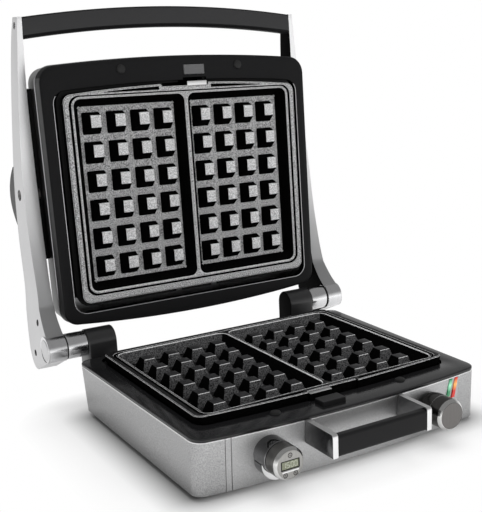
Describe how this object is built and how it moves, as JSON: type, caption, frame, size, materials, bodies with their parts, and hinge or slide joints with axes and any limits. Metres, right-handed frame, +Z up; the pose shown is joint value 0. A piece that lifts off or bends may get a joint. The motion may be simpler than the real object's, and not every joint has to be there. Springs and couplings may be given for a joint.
{
  "type": "waffle maker",
  "caption": "Double waffle maker with a lid on two swinging arms, lift-out plates, thermostat knob, pull-off timer and a front handle.",
  "frame": {"origin": "on the surface it stands on, under the middle of the open machine's bounding box", "axes": "X to the right seen from the front, Y to the back, Z up"},
  "size_m": [0.336, 0.3988, 0.375],
  "materials": {
    "casing_steel": "brushed, satin",
    "arm_metal": "satin",
    "bright_chrome": "polished",
    "dark_steel": "brushed, dark",
    "raw_aluminium": "mill finish",
    "heater_steel": "dull",
    "non_stick": "black non-stick coating, slightly rough",
    "gloss_black": "gloss",
    "satin_black": "satin",
    "band_grey": "satin",
    "rubber": "matt",
    "green_lens": "clear gloss",
    "red_lens": "clear gloss",
    "display": "clear gloss"
  },
  "bodies": {
    "base": {"base_housing": "casing_steel", "front_panel": "casing_steel", "base_bezel": "gloss_black", "bottom_cover": "satin_black", "foot_rear_left": "rubber", "foot_rear_right": "rubber", "foot_front_left": "rubber", "foot_front_right": "rubber", "lower_heat_tray": "raw_aluminium", "lower_heating_element": "heater_steel", "lower_bumper_left": "rubber", "lower_bumper_right": "rubber", "ready_lens_green": "green_lens", "power_lens_red": "red_lens", "cord_inlet": "satin_black", "hinge_post_left": "satin_black", "hinge_collar_left": "bright_chrome", "hinge_pin_left": "heater_steel", "hinge_post_right": "satin_black", "hinge_collar_right": "bright_chrome", "hinge_pin_right": "heater_steel", "handle_bracket_left": "bright_chrome", "handle_bracket_right": "bright_chrome", "front_grip": "satin_black", "thermostat": "satin_black", "timer_dock": "bright_chrome"},
    "lower_plate": {"lower_plate": "non_stick"},
    "lower_release": {"lower_release_button": "satin_black"},
    "lower_clip": {"lower_plate_clip": "bright_chrome"},
    "knob": {"thermostat_knob": "dark_steel"},
    "timer": {"timer_case": "dark_steel", "timer_window": "display"},
    "timer_key_top": {"timer_button_top": "satin_black"},
    "timer_key_left": {"timer_button_left": "satin_black"},
    "timer_key_right": {"timer_button_right": "satin_black"},
    "lid": {"arm_left": "arm_metal", "arm_right": "arm_metal", "arm_liner_left": "satin_black", "arm_liner_right": "satin_black", "hinge_cap_left": "arm_metal", "hinge_cap_right": "arm_metal", "pivot_bolt_left": "heater_steel", "pivot_bolt_right": "heater_steel", "rest_pad_left": "band_grey", "rest_pad_right": "band_grey", "handle_bar": "satin_black", "lid_frame": "satin_black", "lid_trim": "arm_metal", "lid_shell": "band_grey", "lid_cover": "arm_metal", "upper_heat_tray": "raw_aluminium", "upper_heating_element": "heater_steel", "upper_bumper_left": "rubber", "upper_bumper_right": "rubber"},
    "upper_plate": {"upper_plate": "non_stick"},
    "upper_release": {"upper_release_button": "satin_black"},
    "upper_clip": {"upper_plate_clip": "bright_chrome"}
  },
  "joints": [
    {"name": "lid_hinge", "type": "hinge", "parent": "base", "child": "lid", "pos_m": [0, 0.11061, 0.06], "axis": [1, 0, 0], "range_deg": [0, 92.3]},
    {"name": "lower_plate_lift", "type": "slide", "parent": "base", "child": "lower_plate", "axis": [0, 0, -1], "range_m": [-0.03, 0]},
    {"name": "lower_release_press", "type": "slide", "parent": "base", "child": "lower_release", "axis": [0, 0, -1], "range_m": [0, 0.003], "stiffness_N_per_m": 700, "springref_m": -0.002},
    {"name": "lower_clip_slide", "type": "slide", "parent": "base", "child": "lower_clip", "axis": [0, -1, 0], "range_m": [0, 0.003]},
    {"name": "thermostat_turn", "type": "hinge", "parent": "base", "child": "knob", "pos_m": [0.08, -0.16939, 0.0306], "axis": [0, 1, 0], "range_deg": [0, 270]},
    {"name": "timer_pull", "type": "slide", "parent": "base", "child": "timer", "axis": [0, -1, 0], "range_m": [0, 0.02]},
    {"name": "timer_key_top_press", "type": "slide", "parent": "timer", "child": "timer_key_top", "axis": [0, 1, 0], "range_m": [0, 0.001], "stiffness_N_per_m": 400, "springref_m": -0.001},
    {"name": "timer_key_left_press", "type": "slide", "parent": "timer", "child": "timer_key_left", "axis": [0, 1, 0], "range_m": [0, 0.001], "stiffness_N_per_m": 400, "springref_m": -0.001},
    {"name": "timer_key_right_press", "type": "slide", "parent": "timer", "child": "timer_key_right", "axis": [0, 1, 0], "range_m": [0, 0.001], "stiffness_N_per_m": 400, "springref_m": -0.001},
    {"name": "upper_plate_lift", "type": "slide", "parent": "lid", "child": "upper_plate", "axis": [0, 0.9992, -0.0401], "range_m": [-0.03, 0]},
    {"name": "upper_release_press", "type": "slide", "parent": "lid", "child": "upper_release", "axis": [0, 0.9992, -0.0401], "range_m": [0, 0.003], "stiffness_N_per_m": 700, "springref_m": -0.002},
    {"name": "upper_clip_slide", "type": "slide", "parent": "lid", "child": "upper_clip", "axis": [0, 0.0401, 0.9992], "range_m": [0, 0.003]}
  ],
  "couplings": [
    {"joint": "lower_clip_slide", "follows": "lower_release_press", "ratio": 1},
    {"joint": "upper_clip_slide", "follows": "upper_release_press", "ratio": 1}
  ]
}
